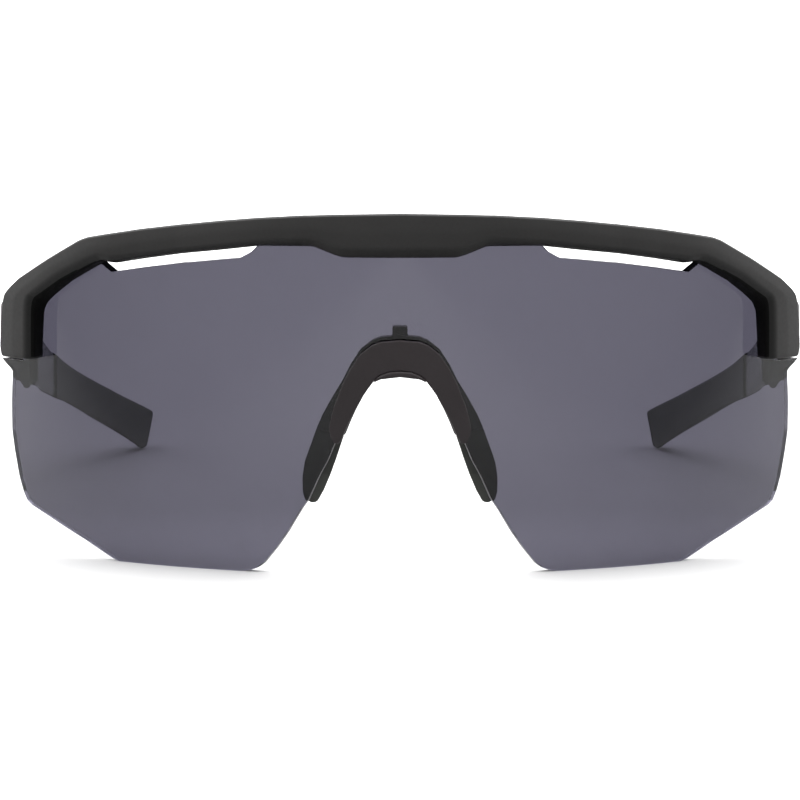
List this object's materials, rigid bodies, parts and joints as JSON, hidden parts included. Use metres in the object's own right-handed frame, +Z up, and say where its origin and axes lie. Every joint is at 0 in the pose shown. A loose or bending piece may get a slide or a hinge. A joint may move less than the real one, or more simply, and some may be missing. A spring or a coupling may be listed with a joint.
{
  "type": "sport sunglasses",
  "caption": "Wraparound sport sunglasses with a smoked shield lens in a half-rim brow frame, a clip-in nose bridge with soft pads, and folding temples with rubber sleeves.",
  "frame": {"origin": "middle of the footprint, on the surface the open glasses stand on", "axes": "-Y is the way the wearer looks, +X is the wearer's left, +Z is up"},
  "size_m": [0.145, 0.1714, 0.0644],
  "materials": {
    "frame": "fine matte moulding",
    "lens": "polished smoke polycarbonate",
    "nose": "semi-matte",
    "pad": "soft matte",
    "temple": "satin moulding",
    "sleeve": "soft matte",
    "steel": "plain",
    "brass": "plain",
    "washer": "natural nylon"
  },
  "bodies": {
    "front": {"brow_frame": "frame", "shield_lens": "lens", "nose_bridge": "nose", "nose_pad_left": "pad", "nose_pad_right": "pad", "hinge_screw_left": "steel", "hinge_screw_right": "steel", "hinge_insert_left": "brass", "hinge_insert_right": "brass"},
    "temple_left": {"temple_arm_left": "temple", "temple_tip_left": "sleeve", "temple_core_left": "steel", "hinge_bush_left": "brass", "hinge_washer_lower_left": "washer", "hinge_washer_upper_left": "washer"},
    "temple_right": {"temple_arm_right": "temple", "temple_tip_right": "sleeve", "temple_core_right": "steel", "hinge_bush_right": "brass", "hinge_washer_lower_right": "washer", "hinge_washer_upper_right": "washer"}
  },
  "joints": [
    {"name": "temple_left_fold", "type": "hinge", "parent": "front", "child": "temple_left", "pos_m": [0.0676, -0.03989, 0.0368], "axis": [0, 0, 1], "range_deg": [0, 90]},
    {"name": "temple_right_fold", "type": "hinge", "parent": "front", "child": "temple_right", "pos_m": [-0.0676, -0.03989, 0.0368], "axis": [0, 0, -1], "range_deg": [0, 84]}
  ]
}
